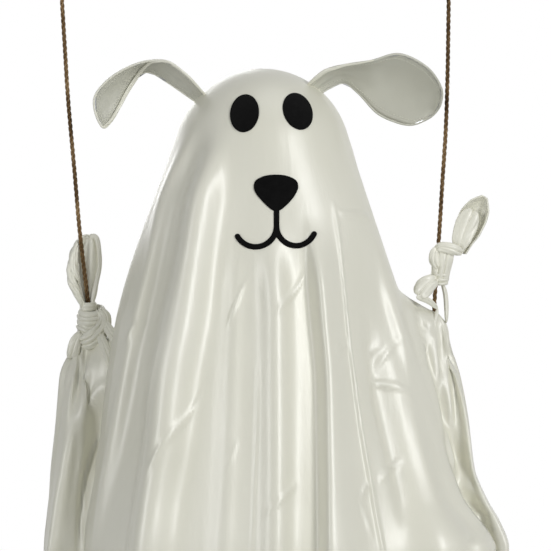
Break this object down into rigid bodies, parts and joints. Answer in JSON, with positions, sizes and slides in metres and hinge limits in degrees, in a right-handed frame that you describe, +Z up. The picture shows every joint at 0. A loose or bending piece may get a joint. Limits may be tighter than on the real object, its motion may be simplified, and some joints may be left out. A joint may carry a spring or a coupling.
{
  "type": "hanging fabric ghost",
  "caption": "Dog-eared ghost of draped white satin that hangs on two ropes like a swing, with knotted cloth hands, wired floppy ears and a black felt face.",
  "frame": {"origin": "hang point, level with the tops of the two hooks and straight above the head", "axes": "front faces -Y, +X to the right as seen from the front, +Z up"},
  "size_m": [0.6174, 0.4222, 0.9701],
  "materials": {
    "white_satin": "satin sheen, off-white",
    "ear_lining": "dull, grey-beige underside",
    "black_felt": "matt black felt",
    "brown_jute": "twisted natural fibre, dark brown",
    "pine": "planed, unvarnished",
    "white_foam": "white bead foam",
    "zinc_steel": "zinc-plated"
  },
  "bodies": {
    "root": {"ghost_sheet": "white_satin", "head_form": "white_foam", "left_ear_cover": "white_satin", "left_ear_lining": "ear_lining", "left_ear_wire": "zinc_steel", "left_eye": "black_felt", "left_hook": "zinc_steel", "left_rope": "brown_jute", "left_stop_knot": "brown_jute", "left_top_loop": "brown_jute", "mouth": "black_felt", "nose": "black_felt", "post": "pine", "post_screw": "zinc_steel", "post_washer": "zinc_steel", "right_ear_cover": "white_satin", "right_ear_lining": "ear_lining", "right_ear_wire": "zinc_steel", "right_eye": "black_felt", "right_hook": "zinc_steel", "right_rope": "brown_jute", "right_stop_knot": "brown_jute", "right_top_loop": "brown_jute", "seat_board": "pine"}
  },
  "joints": []
}
